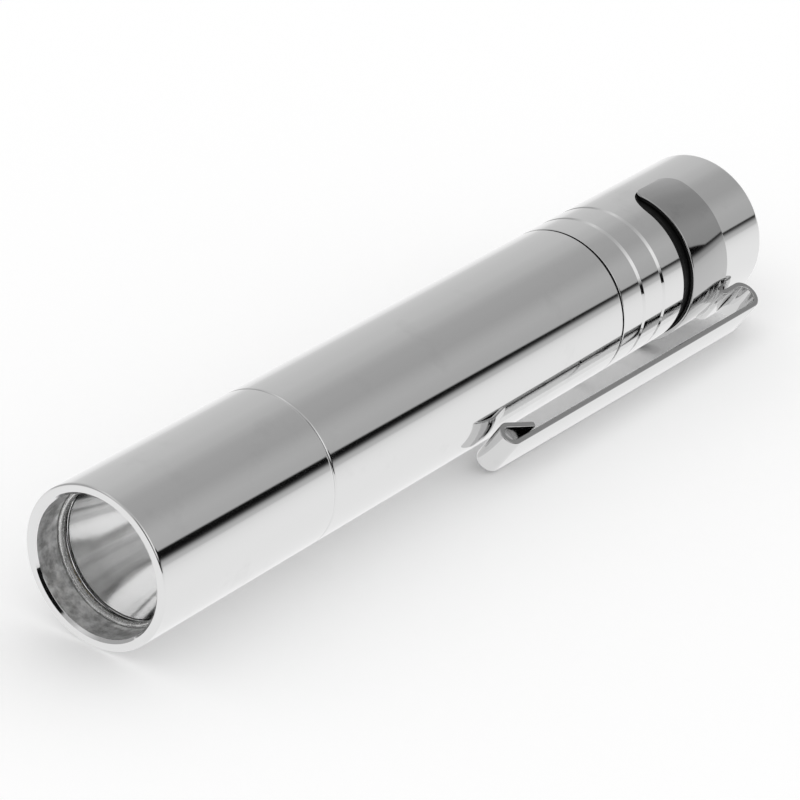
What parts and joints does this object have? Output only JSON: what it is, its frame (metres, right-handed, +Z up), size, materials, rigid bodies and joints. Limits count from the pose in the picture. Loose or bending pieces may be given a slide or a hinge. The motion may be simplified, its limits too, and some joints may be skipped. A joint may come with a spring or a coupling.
{
  "type": "penlight",
  "caption": "Slim polished metal penlight with a recessed glass and smooth reflector, screw-on head and tail cap, rubber tail button and a bent strip pocket clip that turns on the tail.",
  "frame": {"origin": "middle of the bounding box on the ground, under the light as it lies on its barrel and the edge of its clip", "axes": "+X along the light from the lamp end to the button end, +Z up, the clip on the -Y side"},
  "size_m": [0.086, 0.0166, 0.0146],
  "materials": {
    "polished_steel": "mirror polish",
    "pale_rubber": "satin, translucent",
    "glass": "clear",
    "reflector_metal": "smooth bright coating",
    "white_plastic": "matte",
    "board_metal": "white lacquer",
    "lamp_ceramic": "matte ceramic",
    "clear_dome": "clear over yellow",
    "brass": "turned",
    "red_jacket": "satin",
    "green_board": "lacquered",
    "dark_parts": "matte",
    "black_rubber": "matte",
    "cell_steel": "nickel plated",
    "cell_sleeve": "plain printed film, without marks",
    "spring_steel": "plated wire",
    "red_plastic": "moulded"
  },
  "bodies": {
    "barrel": {"barrel": "polished_steel"},
    "head_seal": {"head_o_ring": "black_rubber"},
    "head": {"head_shell": "polished_steel", "lens_o_ring": "pale_rubber", "lens": "glass", "reflector": "reflector_metal", "led_gasket": "white_plastic", "led_board": "board_metal", "led_emitter": "lamp_ceramic", "led_dome": "clear_dome", "pill": "brass", "led_leads": "red_jacket", "driver_board": "green_board", "driver_parts": "dark_parts", "driver_contact": "brass"},
    "cell": {"battery_can": "cell_steel", "battery_sleeve": "cell_sleeve", "battery_nub": "cell_steel", "battery_insulator": "white_plastic"},
    "tail_seal": {"tail_o_ring": "black_rubber"},
    "tail": {"tail_cap": "polished_steel", "retaining_ring": "brass", "switch_board": "green_board", "battery_spring": "spring_steel", "switch_carrier": "white_plastic", "switch_housing": "dark_parts", "switch_terminals": "brass", "return_spring": "spring_steel", "tail_boot": "black_rubber", "clip": "polished_steel"},
    "plunger": {"switch_plunger": "red_plastic", "contact_bridge": "brass"}
  },
  "joints": [
    {"name": "head_turn", "type": "hinge", "parent": "barrel", "child": "head_seal", "pos_m": [0, 0.00126, 0.007], "axis": [-1, 0, 0], "range_deg": [0, 1440]},
    {"name": "head_travel", "type": "slide", "parent": "head_seal", "child": "head", "axis": [-1, 0, 0], "range_m": [0, 0.004]},
    {"name": "cell_spin", "type": "hinge", "parent": "barrel", "child": "cell", "pos_m": [0, 0.00126, 0.007], "axis": [1, 0, 0], "continuous": true},
    {"name": "tail_turn", "type": "hinge", "parent": "barrel", "child": "tail_seal", "pos_m": [0, 0.00126, 0.007], "axis": [1, 0, 0], "range_deg": [0, 1440]},
    {"name": "tail_travel", "type": "slide", "parent": "tail_seal", "child": "tail", "axis": [1, 0, 0], "range_m": [0, 0.004]},
    {"name": "button_press", "type": "slide", "parent": "tail", "child": "plunger", "axis": [-1, 0, 0], "range_m": [0, 0.0015], "stiffness_N_per_m": 600, "deforming": ["return_spring", "tail_boot"]}
  ],
  "couplings": [
    {"joint": "head_travel", "follows": "head_turn", "m_per_rad": 0.00015915},
    {"joint": "tail_travel", "follows": "tail_turn", "m_per_rad": 0.00015915}
  ]
}
